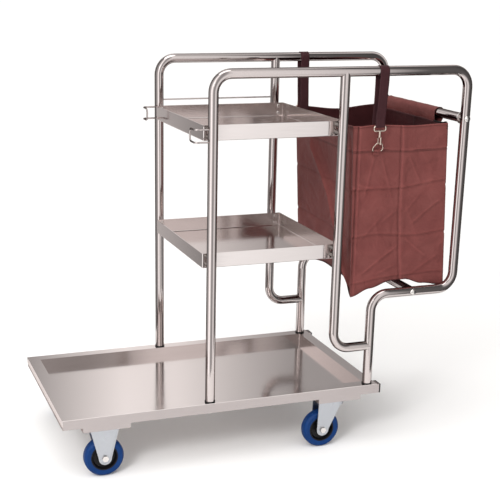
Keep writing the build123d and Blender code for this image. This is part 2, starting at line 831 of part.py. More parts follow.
def ring_and_tab(x):
    """D-shaped ring on the bag's near side and the cloth tab that holds it."""
    half = ring_width / 2
    lean = (eye_y - ring_base_y) / ring_height
    outline = [
        (half, 0), (-half, 0), (-half, ring_shoulder), (-ring_top_half, ring_height),
        (ring_top_half, ring_height), (half, ring_shoulder),
    ]
    ring = closed_loop([(x + across, -ring_base_y - up * lean, ring_base_z + up)
                        for across, up in outline], ring_bend, ring_wire)
    edge = tab_width / 2
    gap = strap_gap
    sleeve = rod((x - edge, -ring_base_y, ring_base_z), (x + edge, -ring_base_y, ring_base_z),
                 ring_wire + gap + strap_thickness)
    patch = box(x - edge, x + edge, -bag_half_width - tab_thickness, -bag_half_width - gap,
                ring_base_z - tab_length, ring_base_z)
    core = rod((x - tab_width, -ring_base_y, ring_base_z), (x + tab_width, -ring_base_y, ring_base_z),
               ring_wire + gap)
    return ring, (sleeve + patch) - core


def make_bag_fittings():
    """Straps, snap hooks, rings and tabs on both sides."""
    rings = []
    tabs = []
    for name, x in (("near", strap_near_x), ("far", strap_far_x)):
        make_strap(name, x)
        make_snap_hook(name, x)
        ring, tab = ring_and_tab(x)
        rings.append(for_side(ring, name))
        tabs.append(for_side(tab, name))
    add("bag_rings", rings)
    add("ring_tabs", tabs)


def main():
    """Build every node and write it as STEP."""
    make_rails()
    make_end_caps()
    make_pan()
    make_side_frames()
    make_feet()
    make_cross_bars()
    make_shelf("top_shelf", top_shelf_z)
    make_shelf("middle_shelf", middle_shelf_z)
    make_shelf_fixings()
    make_guard_and_hooks()
    make_member("caster_member_front", front_member_x)
    make_member("caster_member_rear", rear_member_x)
    make_plate_bolts()
    make_fixed_casters()
    make_swivel_casters()
    make_axles()
    for side, name in ((-1, "near"), (1, "far")):
        make_wheel(f"front_{name}", fixed_wheel_x, side * caster_y)
        make_wheel(f"rear_{name}", swivel_x - swivel_trail, side * caster_y)
    make_bag()
    make_sleeve()
    make_bag_fittings()
    os.makedirs("parts", exist_ok=True)
    for name, piece in parts.items():
        export_step(piece, f"parts/{name}.step")


if __name__ == "__main__":
    main()
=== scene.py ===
"""Looks of a stainless housekeeping cart with a hanging cloth bag."""

import logging
import math
from dataclasses import dataclass
from enum import Enum
from typing import Any, Callable, Iterable, Optional, Sequence

import bmesh
import bpy
from mathutils import Matrix, Vector, noise


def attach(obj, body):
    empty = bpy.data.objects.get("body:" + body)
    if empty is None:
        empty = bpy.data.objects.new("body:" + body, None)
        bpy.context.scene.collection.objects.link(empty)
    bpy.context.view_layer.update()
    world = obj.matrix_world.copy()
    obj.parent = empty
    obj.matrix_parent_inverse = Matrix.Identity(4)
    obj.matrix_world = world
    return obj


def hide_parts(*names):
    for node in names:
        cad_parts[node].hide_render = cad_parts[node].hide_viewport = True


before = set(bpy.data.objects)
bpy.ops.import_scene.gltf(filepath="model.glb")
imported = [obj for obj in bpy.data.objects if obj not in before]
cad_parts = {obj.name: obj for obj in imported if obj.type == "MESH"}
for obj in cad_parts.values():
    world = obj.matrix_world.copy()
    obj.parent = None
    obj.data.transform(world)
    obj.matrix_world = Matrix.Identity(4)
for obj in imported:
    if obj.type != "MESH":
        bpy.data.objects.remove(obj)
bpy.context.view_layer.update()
LOG = logging.getLogger("cart")

MM = 0.001
# Distance from the deck's front end to the row's origin, in millimetres.
ORIGIN_X = 552.15
SENSOR_MM = 36.0
# Heights of the drawn reliefs in millimetres.
SCRATCH_RELIEF_MM = 0.2
GRAIN_RELIEF_MM = 0.3
CRUMPLE_RELIEF_MM = 4.0
# How narrow the ridges of creased cloth are.
RIDGE_SHARPNESS = 4.5


def row(x: float, y: float, z: float) -> Vector:
    """Turn cart millimetres, with x from the deck's front end, into row metres."""
    return Vector(((x - ORIGIN_X) * MM, y * MM, z * MM))


def linear(colour: str) -> tuple[float, float, float, float]:
    """Turn an sRGB hex colour into linear RGBA.

    Args:
        colour: Six hex digits after a hash sign.

    Returns:
        Linear red, green, blue and an alpha of one.
    """
    parts = [int(colour[i:i + 2], 16) / 255 for i in (1, 3, 5)]
    red, green, blue = [c / 12.92 if c <= 0.04045 else ((c + 0.055) / 1.055) ** 2.4 for c in parts]
    return red, green, blue, 1.0


def smooth_step(low: float, high: float, value: float) -> float:
    """Ease from 0 at low to 1 at high."""
    t = min(1.0, max(0.0, (value - low) / (high - low)))
    return t * t * (3 - 2 * t)


def bump(value: float, centre: float, width: float) -> float:
    """Bell of height one round a centre."""
    return math.exp(-((value - centre) / width) ** 2)


def blend_points(stops: Sequence[tuple[float, float]], value: float) -> float:
    """Read a smooth curve through sorted (position, height) stops."""
    if value <= stops[0][0]:
        return stops[0][1]
    for (x0, y0), (x1, y1) in zip(stops, stops[1:]):
        if value <= x1:
            return y0 + (y1 - y0) * smooth_step(x0, x1, value)
    return stops[-1][1]


def add_object(name: str, data: bpy.types.ID) -> bpy.types.Object:
    """New object in the scene."""
    made = bpy.data.objects.new(name, data)
    bpy.context.scene.collection.objects.link(made)
    return made


def add_mesh(name: str, mesh: bmesh.types.BMesh) -> bpy.types.Object:
    """New mesh object in the scene from a bmesh, which is freed."""
    data = bpy.data.meshes.new(name)
    mesh.to_mesh(data)
    mesh.free()
    return add_object(name, data)


def add_node(
    tree: bpy.types.NodeTree,
    kind: str,
    settings: Optional[dict[str | int, Any]] = None,
    links: Optional[dict[str | int, bpy.types.NodeSocket]] = None,
) -> bpy.types.Node:
    """Add one shader node with its settings and links.

    Args:
        tree: The node tree.
        kind: The node's type name.
        settings: Attribute or input socket values.
        links: Input socket names mapped to output sockets.

    Returns:
        The new node.
    """
    made = tree.nodes.new(kind)
    for name, value in (settings or {}).items():
        if isinstance(name, str) and hasattr(made, name):
            setattr(made, name, value)
        else:
            made.inputs[name].default_value = value
    for name, source in (links or {}).items():
        tree.links.new(source, made.inputs[name])
    return made


def new_material(name: str) -> tuple[bpy.types.Material, bpy.types.NodeTree]:
    """Make an empty node material."""
    material = bpy.data.materials.new(name)
    material.use_nodes = True
    material.node_tree.nodes.clear()
    return material, material.node_tree


def per_metre(spacing_mm: float) -> float:
    """Pattern frequency that repeats once every spacing."""
    return 1000.0 / spacing_mm


def grained(tree: bpy.types.NodeTree, sizes_mm: Sequence[float],
            **settings: float) -> bpy.types.NodeSocket:
    """Noise from 0 to 1 in the object's own space.

    Args:
        tree: The node tree.
        sizes_mm: Size of the noise along X, Y and Z.
        settings: Further settings of the noise.

    Returns:
        The noise's value.
    """
    place = add_node(tree, "ShaderNodeTexCoord")
    mapped = add_node(tree, "ShaderNodeMapping",
                      {"Scale": tuple(per_metre(size) for size in sizes_mm)},
                      {"Vector": place.outputs["Object"]})
    made = add_node(tree, "ShaderNodeTexNoise", {"Scale": 1.0, **settings},
                    {"Vector": mapped.outputs["Vector"]})
    return made.outputs["Fac"]


def remapped(tree: bpy.types.NodeTree, source: bpy.types.NodeSocket, before: tuple[float, float],
             after: tuple[float, float]) -> bpy.types.NodeSocket:
    """Value moved from one range to another, and held inside it."""
    made = add_node(tree, "ShaderNodeMapRange",
                    {"From Min": before[0], "From Max": before[1],
                     "To Min": after[0], "To Max": after[1]}, {"Value": source})
    return made.outputs["Result"]


def between(tree: bpy.types.NodeTree, low: str, high: str,
            share: bpy.types.NodeSocket) -> bpy.types.NodeSocket:
    """Colour from one hex colour to another by a share."""
    made = add_node(tree, "ShaderNodeMix",
                    {"data_type": "RGBA", 6: linear(low), 7: linear(high)}, {0: share})
    return made.outputs[2]


def raised(tree: bpy.types.NodeTree, height: bpy.types.NodeSocket, strength: float,
           relief_mm: float, **links: bpy.types.NodeSocket) -> bpy.types.NodeSocket:
    """Normal of a relief drawn from a height, over the normal in the links, if any."""
    made = add_node(tree, "ShaderNodeBump", {"Strength": strength, "Distance": relief_mm * MM},
                    {"Height": height, **links})
    return made.outputs["Normal"]


def close_tree(tree: bpy.types.NodeTree, surface: bpy.types.Node) -> None:
    """End a material's tree with its surface."""
    add_node(tree, "ShaderNodeOutputMaterial", None, {"Surface": surface.outputs[0]})


@dataclass(frozen=True)
class Metal:
    """A bare metal with fine scratches along one axis.

    The scratches break each highlight up a little, and the smear keeps large faces
    from being a perfect mirror.

    Attributes:
        name: The material's name.
        colour: Its colour on the scratches' tops.
        dark: Its colour between them.
        roughness: Roughness where it is smoothest.
        spread: How much rougher it gets in smears.
        scratch_mm: Size of the scratches along X, Y and Z.
        scratch_depth: Strength of their relief.
        smear_mm: Size of the smears.
        edge: Tint of the reflection at a grazing angle.
    """

    name: str
    colour: str
    dark: str
    roughness: float
    spread: float
    scratch_mm: tuple[float, float, float]
    scratch_depth: float
    smear_mm: float
    edge: str = "#8a8482"

    def material(self) -> bpy.types.Material:
        """Build the material."""
        made, tree = new_material(self.name)
        streaks = grained(tree, self.scratch_mm, Detail=3.0, Roughness=0.6)
        smears = grained(tree, (self.smear_mm,) * 3, Detail=2.0)
        surface = add_node(
            tree, "ShaderNodeBsdfPrincipled",
            {"Metallic": 1.0, "Specular Tint": linear(self.edge)},
            {"Base Color": between(tree, self.dark, self.colour, streaks),
             "Roughness": remapped(tree, smears, (0.0, 1.0),
                                   (self.roughness, self.roughness + self.spread)),
             "Normal": raised(tree, streaks, self.scratch_depth, SCRATCH_RELIEF_MM)},
        )
        close_tree(tree, surface)
        return made


@dataclass(frozen=True)
class Moulded:
    """A moulded plastic or rubber with a fine matte grain.

    Attributes:
        name: The material's name.
        colour: Its main colour.
        varied: The colour of its mottling.
        roughness: Its roughness.
        ior: Its index of refraction.
        grain_mm: Size of the grain.
        grain_depth: Strength of the grain's relief.
        mottle_mm: Size of the mottling.
    """

    name: str
    colour: str
    varied: str
    roughness: float
    ior: float
    grain_mm: float
    grain_depth: float
    mottle_mm: float

    def material(self) -> bpy.types.Material:
        """Build the material."""
        made, tree = new_material(self.name)
        grain = grained(tree, (self.grain_mm,) * 3, Detail=2.0)
        mottle = grained(tree, (self.mottle_mm,) * 3, Detail=3.0)
        surface = add_node(
            tree, "ShaderNodeBsdfPrincipled",
            {"Roughness": self.roughness, "IOR": self.ior, "Specular IOR Level": 0.18},
            {"Base Color": between(tree, self.colour, self.varied, mottle),
             "Normal": raised(tree, grain, self.grain_depth, GRAIN_RELIEF_MM)},
        )
        close_tree(tree, surface)
        return made


@dataclass(frozen=True)
class Woven:
    """A woven cloth whose threads cross in the surface's own two directions.

    The weave is drawn in the mesh's UV map, which is in millimetres.

    Attributes:
        name: The material's name.
        colour: Colour of a thread's top.
        shade: Colour between the threads.
        faded: Colour where the cloth has faded.
        roughness: Its roughness.
        thread_mm: Spacing of the weave.
        depth: Strength of the weave's relief.
        sheen: Weight of the fibres' sheen.
        sheen_tint: Colour of the sheen.
        crumple_mm: Size of the soft crumples.
        crumple_depth: Strength of their relief.
    """

    name: str
    colour: str
    shade: str
    faded: str
    roughness: float
    thread_mm: float
    depth: float
    sheen: float
    sheen_tint: str
    crumple_mm: float
    crumple_depth: float

    def weave(self, tree: bpy.types.NodeTree) -> bpy.types.NodeSocket:
        """Height of the crossing threads, from -1 to 1."""
        uv = add_node(tree, "ShaderNodeTexCoord").outputs["UV"]
        axes = add_node(tree, "ShaderNodeSeparateXYZ", None, {"Vector": uv})
        turns = 2 * math.pi / self.thread_mm
        waves = []
        for axis in ("X", "Y"):
            angle = add_node(tree, "ShaderNodeMath", {"operation": "MULTIPLY", 1: turns},
                             {0: axes.outputs[axis]})
            waves.append(add_node(tree, "ShaderNodeMath", {"operation": "SINE"},
                                  {0: angle.outputs[0]}).outputs[0])
        both = add_node(tree, "ShaderNodeMath", {"operation": "MULTIPLY"},
                        {0: waves[0], 1: waves[1]})
        return both.outputs[0]

    def material(self) -> bpy.types.Material:
        """Build the material."""
        made, tree = new_material(self.name)
        weave = self.weave(tree)
        crumple_size = (self.crumple_mm,) * 3
        crumples = grained(tree, crumple_size, Detail=4.0, Roughness=0.55, Distortion=0.6)
        threads = between(tree, self.shade, self.colour,
                          remapped(tree, weave, (-1.0, 1.0), (0.0, 1.0)))
        aged = add_node(tree, "ShaderNodeMix", {"data_type": "RGBA", 7: linear(self.faded)},
                        {0: remapped(tree, crumples, (0.35, 0.8), (0.0, 0.4)), 6: threads})
        # Painted light and shade: a per-vertex attribute scales the colour's value, with painted
        # highlight on crease ridges and painted shade in their valleys.
        painted_shading = add_node(tree, "ShaderNodeAttribute", {"attribute_name": "painted_shading"})
        varied = add_node(tree, "ShaderNodeHueSaturation", None,
                        {"Color": aged.outputs[2],
                         "Value": remapped(tree, painted_shading.outputs["Fac"], (-1.0, 1.0), (0.35, 1.65))})
        folds = raised(tree, crumples, self.crumple_depth, CRUMPLE_RELIEF_MM)
        surface = add_node(
            tree, "ShaderNodeBsdfPrincipled",
            {"Roughness": self.roughness, "IOR": 1.45, "Specular IOR Level": 0.22,
             "Sheen Weight": self.sheen, "Sheen Roughness": 0.5,
             "Sheen Tint": linear(self.sheen_tint)},
            {"Base Color": varied.outputs["Color"],
             "Normal": raised(tree, weave, self.depth, GRAIN_RELIEF_MM, Normal=folds)},
        )
        close_tree(tree, surface)
        return made


class Finish(Enum):
    """Every finish on the cart."""

    # Polished stainless tube: a near mirror with faint drawing lines and darker grazing edges.
    TUBE = Metal(
        "stainless_tube_polished", colour="#d2cac8", dark="#c2b8b6", roughness=0.05, spread=0.04,
        scratch_mm=(4.0, 4.0, 4.0), scratch_depth=0.02, smear_mm=60.0, edge="#4a4240",
    )
    # Polished stainless sheet: softer mirror than the tube, with a lengthwise grain.
    SHEET = Metal(
        "stainless_sheet_polished", colour="#e6e0de", dark="#d5cdcb", roughness=0.10, spread=0.07,
        scratch_mm=(60.0, 0.8, 0.8), scratch_depth=0.04, smear_mm=90.0, edge="#e6dfdd",
    )
    # Satin square tube: greyer and softer than the polished sheet.
    RAIL = Metal(
        "stainless_square_tube_satin", colour="#bdb5b4", dark="#aaa2a1", roughness=0.18,
        spread=0.08, scratch_mm=(60.0, 1.0, 1.0), scratch_depth=0.05, smear_mm=70.0,
        edge="#a89c9a",
    )
    # Bright stainless fixings: small clean highlights.
    FIXINGS = Metal(
        "stainless_fixings_bright", colour="#e8e4e1", dark="#d6d1cd", roughness=0.16, spread=0.05,
        scratch_mm=(3.0, 3.0, 3.0), scratch_depth=0.02, smear_mm=20.0, edge="#6a6664",
    )
    # Zinc plated pressed steel: pale blue-grey and half matte.
    ZINC = Metal(
        "zinc_plated_pressed_steel", colour="#c3c6cb", dark="#a9acb2", roughness=0.24, spread=0.12,
        scratch_mm=(2.0, 2.0, 2.0), scratch_depth=0.05, smear_mm=14.0,
    )
    # Plain steel bush: duller grey.
    BUSH = Metal(
        "plain_steel_turned", colour="#a9a9a9", dark="#8f8f8f", roughness=0.35, spread=0.1,
        scratch_mm=(1.0, 8.0, 1.0), scratch_depth=0.05, smear_mm=10.0,
    )
    # Nickel plated wire and castings: warm and bright.
    NICKEL = Metal(
        "nickel_plated_wire", colour="#f0dfd2", dark="#cdbbae", roughness=0.14, spread=0.06,
        scratch_mm=(2.0, 2.0, 2.0), scratch_depth=0.03, smear_mm=8.0, edge="#5c5048",
    )
    # Elastic rubber tyre: deep blue with a soft broad highlight.
    TYRE = Moulded(
        "elastic_rubber_blue", colour="#00346f", varied="#002858", roughness=0.55, ior=1.5,
        grain_mm=1.2, grain_depth=0.12, mottle_mm=25.0,
    )
    # Moulded nylon hub: near black, half matte.
    HUB = Moulded(
        "nylon_moulded_black", colour="#0d0c0e", varied="#141316", roughness=0.38, ior=1.5,
        grain_mm=1.5, grain_depth=0.15, mottle_mm=20.0,
    )
    # Moulded plastic caps, black and smooth; the post collars take the same black, a thin dark
    # ring at each post's foot.
    CAP = Moulded(
        "plastic_moulded_black", colour="#0c0c0d", varied="#131315", roughness=0.4, ior=1.49,
        grain_mm=1.0, grain_depth=0.1, mottle_mm=15.0,
    )
    # Coated oxford cloth: maroon plain weave, drawn coarser than its 0.5 mm threads.
    CLOTH = Woven(
        "oxford_cloth_maroon", colour="#6f3a37", shade="#61302e", faded="#7d4844", roughness=0.66,
        thread_mm=1.6, depth=0.3, sheen=0.03, sheen_tint="#c99a94", crumple_mm=45.0,
        crumple_depth=0.8,
    )
    # Back of the cloth and the bag's bottom: painted shade for the shadowed inside of the bag,
    # much darker and a little smoother than its face.
    PAINTED_BACK_SHADE = Woven(
        "cloth_back_painted_shade", colour="#3a1517", shade="#2e1012", faded="#481e20",
        roughness=0.6, thread_mm=1.6, depth=0.2, sheen=0.05, sheen_tint="#6a4a4c", crumple_mm=55.0,
        crumple_depth=0.4,
    )
    # Polyester webbing: darker maroon with wide ribs.
    WEBBING = Woven(
        "polyester_webbing_dark_maroon", colour="#3d1b20", shade="#2a1115", faded="#48252a",
        roughness=0.65, thread_mm=2.6, depth=0.6, sheen=0.04, sheen_tint="#a07c7e",
        crumple_mm=30.0, crumple_depth=0.1,
    )
    # Edge binding: near black.
    BINDING = Woven(
        "edge_binding_black", colour="#160c0e", shade="#0e080a", faded="#1f1416", roughness=0.6,
        thread_mm=1.5, depth=0.4, sheen=0.05, sheen_tint="#555555", crumple_mm=20.0,
        crumple_depth=0.1,
    )
    # Stitch thread: a shade darker than the cloth.
    THREAD = Woven(
        "polyester_thread_maroon", colour="#4a2321", shade="#3c1b1a", faded="#56302d",
        roughness=0.6, thread_mm=0.8, depth=0.2, sheen=0.05, sheen_tint="#a07c7e", crumple_mm=20.0,
        crumple_depth=0.05,
    )


MATERIALS: dict[Finish, bpy.types.Material] = {}


def finish(kind: Finish) -> bpy.types.Material:
    """Material of a finish, made on first use."""
    if kind not in MATERIALS:
        MATERIALS[kind] = kind.value.material()
    return MATERIALS[kind]


def dress(piece: bpy.types.Object, *kinds: Finish) -> None:
    """Give a piece its finishes, one for each material slot."""
    piece.data.materials.clear()
    for kind in kinds:
        piece.data.materials.append(finish(kind))


# How the names of CAD nodes begin, by finish; the first that fits counts.
NODE_FINISHES: tuple[tuple[Finish, tuple[str, ...]], ...] = (
    (Finish.TYRE, ("tyre",)),
    (Finish.HUB, ("hub",)),
    (Finish.BUSH, ("bush",)),
    (Finish.CAP, ("rail_end_caps", "post_collars")),
    (Finish.NICKEL, ("snap", "bag_rings")),
    (Finish.FIXINGS, ("swivel_axle", "fixed_axles")),
    (Finish.ZINC, ("swivel", "fixed", "kingpins", "caster_bolts")),
    (Finish.RAIL, ("caster_member", "cross_rail", "side_rail")),
    (Finish.SHEET, ("base_pan", "top_shelf", "middle_shelf")),
    (Finish.FIXINGS, ("post_", "bar_", "shelf_s", "push_bar_collars")),
    (Finish.CLOTH, ("bag_", "ring_tabs")),
    (Finish.WEBBING, ("strap",)),
    (Finish.TUBE, ("",)),
)


def dress_frame() -> None:
    """Give every CAD node its finish."""
    for name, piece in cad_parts.items():
        kind = next(kind for kind, starts in NODE_FINISHES if name.startswith(starts))
        for slot in piece.material_slots:
            slot.material = finish(kind)
        if not piece.material_slots:
            dress(piece, kind)
        LOG.info("%s wears %s", name, kind.value.name)


def even(count: int) -> list[float]:
    """Shares from 0 to 1 in even steps."""
    return [k / count for k in range(count + 1)]


@dataclass
class Sheet:
    """A grid of cloth given by a function of two lengths in millimetres.

    Attributes:
        name: The piece's name.
        across: Length along the first direction, used for the weave.
        down: Length along the second direction.
        columns: Shares of the columns along the first direction.
        rows: Shares of the rows along the second direction.
        closed: Whether the first direction joins up with itself.
    """

    name: str
    across: float
    down: float
    columns: list[float]
    rows: list[float]
    closed: bool = False

    def build(self, place: Callable[[float, float], Vector],
              painted_shading: Callable[[float, float], float] = lambda u, v: 0.0) -> bpy.types.Object:
        """Make the mesh.

        Args:
            place: Maps (share across, share down), both 0 to 1, to a point in row metres.
            painted_shading: Painted highlight (1) to painted shade (-1) at the same shares.

        Returns:
            The new object, smooth shaded, with a UV map in millimetres.
        """
        mesh = bmesh.new()
        uv = mesh.loops.layers.uv.new("threads")
        painted_shade = mesh.verts.layers.float.new("painted_shading")
        stops = self.columns[:-1] if self.closed else self.columns
        grid = [[mesh.verts.new(place(u, v)) for u in stops] for v in self.rows]
        # Each corner keeps its painted light and shade for the cloth material.
        for line, v in zip(grid, self.rows):
            for corner, u in zip(line, stops):
                corner[painted_shade] = painted_shading(u, v)
        for j in range(len(self.rows) - 1):
            for i in range(len(self.columns) - 1):
                k = (i + 1) % len(stops)
                face = mesh.faces.new((grid[j][i], grid[j + 1][i], grid[j + 1][k], grid[j][k]))
                face.smooth = True
                corners = ((i, j), (i, j + 1), (i + 1, j + 1), (i + 1, j))
                for loop, (a, b) in zip(face.loops, corners):
                    loop[uv].uv = (self.columns[a] * self.across, self.rows[b] * self.down)
        return add_mesh(self.name, mesh)


def thicken(piece: bpy.types.Object, thickness_mm: float, offset: float,
            painted_back: bool = False) -> None:
    """Give cloth its thickness.

    Args:
        piece: The open cloth.
        thickness_mm: How thick it gets.
        offset: -1 grows it behind its face, 0 to both sides.
        painted_back: Whether its back takes the next material slot, which holds the painted shade.
    """
    shell = piece.modifiers.new("cloth_thickness", "SOLIDIFY")
    shell.thickness = thickness_mm * MM
    shell.offset = offset
    shell.material_offset = 1 if painted_back else 0


def crumple(point: Vector, size_mm: float, seed: float) -> float:
    """Smooth noise from -1 to 1 over a size in millimetres."""
    return noise.noise(point * per_metre(size_mm) + Vector((seed, seed * 1.7, -seed)))


def creased(point: Vector, size_mm: float, seed: float) -> float:
    """Network of sharp ridges, 1 on a ridge and 0 between them."""
    return max(0.0, 1 - RIDGE_SHARPNESS * abs(crumple(point, size_mm, seed))) ** 2


def tube_along(name: str, points: Sequence[Vector], radius_mm: float,
               cyclic: bool = False) -> bpy.types.Object:
    """Round cord or thread through the points.

    Args:
        name: The piece's name.
        points: Points in row metres.
        radius_mm: Radius in millimetres.
        cyclic: Whether it joins up.

    Returns:
        A mesh object.
    """
    curve = bpy.data.curves.new(name, "CURVE")
    curve.dimensions = "3D"
    curve.bevel_depth = radius_mm * MM
    curve.bevel_resolution = 2
    curve.resolution_u = 3
    spline = curve.splines.new("POLY")
    spline.points.add(len(points) - 1)
    for target, point in zip(spline.points, points):
        target.co = (*point, 1.0)
    spline.use_cyclic_u = cyclic
    curve.use_fill_caps = True
    holder = add_object(name, curve)
    bpy.context.view_layer.update()
    graph = bpy.context.evaluated_depsgraph_get()
    data = bpy.data.meshes.new_from_object(holder.evaluated_get(graph))
    bpy.data.objects.remove(holder)
    data.name = name
    for face in data.polygons:
        face.use_smooth = True
    return add_object(name, data)


def settle(piece: bpy.types.Object, kind: Finish, body: str = "cart",
           stands_for: Iterable[str] = (), back: Optional[Finish] = None) -> None:
    """Dress a piece, put it on its body and log it.

    Args:
        piece: The piece.
        kind: Its finish.
        body: The CAD body it rides on.
        stands_for: CAD nodes it replaces.
        back: Finish of its back, where that differs.
    """
    dress(piece, *([kind, back] if back else [kind]))
    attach(piece, body)
    if stands_for:
        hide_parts(*stands_for)
    LOG.info("%s on %s", piece.name, body)


# Outward directions of the bag's front, near, rear and far sides.
OUTWARD = (Vector((-1, 0, 0)), Vector((0, -1, 0)), Vector((1, 0, 0)), Vector((0, 1, 0)))
# Height of each side's bottom edge in millimetres, at shares along it.
FOOT_HEIGHTS = (
    ((0.0, 411.0), (0.12, 435.0), (0.5, 453.0), (0.85, 457.0), (1.0, 418.0)),
    ((0.0, 418.0), (0.2, 438.0), (0.42, 455.0), (0.57, 456.0), (0.76, 441.0), (1.0, 431.0)),
    ((0.0, 431.0), (0.2, 443.0), (0.8, 445.0), (1.0, 421.0)),
    ((0.0, 421.0), (0.3, 443.0), (0.5, 451.0), (0.7, 445.0), (1.0, 411.0)),
)
# Packing folds across the near side: drop below the rim and depth in millimetres.
NEAR_FOLDS = ((163.0, 3.0), (293.0, 2.6), (410.0, 1.6))
# Drops of the packing folds on the front, and on the rear and far sides.
FRONT_FOLDS = (165.0, 295.0)
BACK_FOLDS = (163.0, 293.0)
# Pulled creases on the near side: share along it and drop at each end, and height.
NEAR_CREASES = (
    (0.10, 395.0, 0.50, 318.0, 3.2), (0.25, 400.0, 0.46, 372.0, 2.4),
    (0.62, 262.0, 0.97, 196.0, 2.8), (0.22, 78.0, 0.12, 190.0, 2.2),
    (0.30, 82.0, 0.44, 210.0, 1.6), (0.05, 150.0, 0.24, 168.0, 2.0),
    (0.72, 150.0, 0.60, 80.0, 1.5), (0.56, 300.0, 0.80, 356.0, 2.0),
    (0.62, 398.0, 0.95, 350.0, 2.4), (0.08, 300.0, 0.34, 236.0, 2.0),
    (0.30, 260.0, 0.48, 222.0, 1.8), (0.56, 232.0, 0.74, 176.0, 1.6),
)


@dataclass
class Bag:
    """The open cloth bag: its four sides as one skin, its bottom, hem and bindings.

    Sides are numbered 0 front, 1 near, 2 rear, 3 far, going round from the far front corner.
    Sizes are in millimetres, and x runs from the deck's front end.

    Attributes:
        half_width: Half the width across the cart.
        top: Height of the rim's corners.
        top_x: X of each rim corner.
        low_x: X of each bottom corner.
        bar_x: X of the lower cross bar, which the bottom crosses.
        bar_top: Height of that bar's top.
        rod_x: X of the rear rim between its corners.
        hem: Drop of the hem's lower edge below the rim.
        seam_inset: Drop from the hem's thread to the hem's lower edge.
        rim_stitch: Drop of the rim's thread.
        cloth: Thickness of the cloth.
        thread: Radius of the thread.
        binding: Radius of the edge binding.
        thread_end: Radius of the loose thread ends.
        skin_weave: Lengths round and down the skin that the weave is drawn over.
        bottom_weave: The same across and along the bottom.
        side_columns: Columns of the mesh on each side.
        row_count: Rows of the mesh.
        stitch_steps: Points of a thread on each side.
    """

    half_width: float = 216.4
    top: float = 873.0
    top_x: tuple[float, float, float, float] = (801.0, 775.0, 1049.0, 1071.0)
    low_x: tuple[float, float, float, float] = (826.0, 791.0, 1071.0, 1076.0)
    bar_x: float = 965.0
    bar_top: float = 437.5
    rod_x: float = 1074.0
    hem: float = 68.0
    seam_inset: float = 3.5
    rim_stitch: float = 4.5
    cloth: float = 1.4
    thread: float = 0.55
    binding: float = 2.3
    thread_end: float = 1.0
    skin_weave: tuple[float, float] = (1440.0, 450.0)
    bottom_weave: tuple[float, float] = (280.0, 434.0)
    side_columns: tuple[int, int, int, int] = (96, 116, 60, 56)
    row_count: int = 132
    stitch_steps: int = 72

    def corner_line(self, side: int, t: float, stations: Sequence[float]) -> tuple[float, float]:
        """X and Y along one side between its two corners."""
        ys = (1, -1, -1, 1)
        a, b = side, (side + 1) % 4
        x = stations[a] + (stations[b] - stations[a]) * t
        y = self.half_width * (ys[a] + (ys[b] - ys[a]) * t)
        return x, y

    def rim(self, side: int, t: float) -> Vector:
        """Top edge of one side at a share t along it, in millimetres."""
        x, y = self.corner_line(side, t, self.top_x)
        z = self.top
        if side == 0:
            z -= 7 * math.sin(math.pi * t) + 4 * (1 - t)
            x += 6 * math.sin(math.pi * t) + 2.0 * math.sin(7 * t)
        if side == 1:
            z += 1.5 * bump(t, 0.27, 0.1) - 3.5 * bump(t, 0.64, 0.2) - 1.5 * bump(t, 0.08, 0.05)
            y += 1.6 * math.sin(math.pi * t)
        if side == 2:
            lift = smooth_step(0.0, 0.27, t) * smooth_step(1.0, 0.93, t)
            x += (self.rod_x - x) * lift
            z += -8 * lift - 3 * smooth_step(0.02, 0.1, t) * smooth_step(0.4, 0.2, t)
        if side == 3:
            z -= 8 * math.sin(math.pi * t) - 2 * math.sin(9 * t)
            y -= 3 * math.sin(math.pi * t)
        return Vector((x, y, z))

    def foot(self, side: int, t: float) -> Vector:
        """Bottom edge of one side at a share t along it, in millimetres."""
        x, y = self.corner_line(side, t, self.low_x)
        if side == 0:
            x += 12 * math.sin(math.pi * t)
        return Vector((x, y, blend_points(FOOT_HEIGHTS[side], t)))

    def near_relief(self, t: float, drop: float, share: float) -> tuple[float, float]:
        """Creases of the near side: how far the cloth stands out, and the painted shade in their
        valleys with painted highlight beside them.
        """
        middle = 0.505 + 0.006 * math.sin(drop / 60)
        out = -3.4 * bump(t, middle, 0.010) + 2.0 * bump(t, middle + 0.03, 0.035)
        painted_shade = -0.38 * bump(t, middle, 0.006) + 0.3 * bump(t, middle + 0.018, 0.008)
        for level, depth in NEAR_FOLDS:
            sag = level + 12 * (0.5 - t) + 5 * math.sin(5 * t + level)
            out += -depth * bump(drop, sag, 3.2) + 1.8 * bump(drop, sag - 11, 9)
            painted_shade += -0.26 * bump(drop, sag, 2.4) + 0.36 * bump(drop, sag - 6, 3.0)
        width = self.top_x[2] - self.top_x[1]
        for t0, d0, t1, d1, height in NEAR_CREASES:
            along = Vector(((t1 - t0) * width, d1 - d0))
            here = Vector(((t - t0) * width, drop - d0))
            reach = here.dot(along) / along.length_squared
            aside = (here - along * reach).length
            fade = smooth_step(-0.08, 0.15, reach) * smooth_step(1.08, 0.8, reach)
            out += 0.7 * height * fade * (bump(aside, 0, 5.5) - 0.3 * bump(aside, 10, 6))
            painted_shade += 0.15 * height * fade * (bump(aside, 0, 2.0) - 0.25 * bump(aside, 6, 5))
        # Painted shadow line along the gusset fold, with a painted highlight beside it.
        fold = 0.060 - 0.048 * share
        fold_fade = smooth_step(1.02, 0.85, share)
        out += -4.6 * bump(t, fold, 0.009) * fold_fade + 2.0 * bump(t, fold + 0.022, 0.012)
        painted_shade += -0.8 * bump(t, fold, 0.006) * fold_fade + 0.3 * bump(t, fold + 0.016, 0.008)
        return out - 4.0 * math.sin(math.pi * share) * math.sin(math.pi * t) ** 0.8, painted_shade

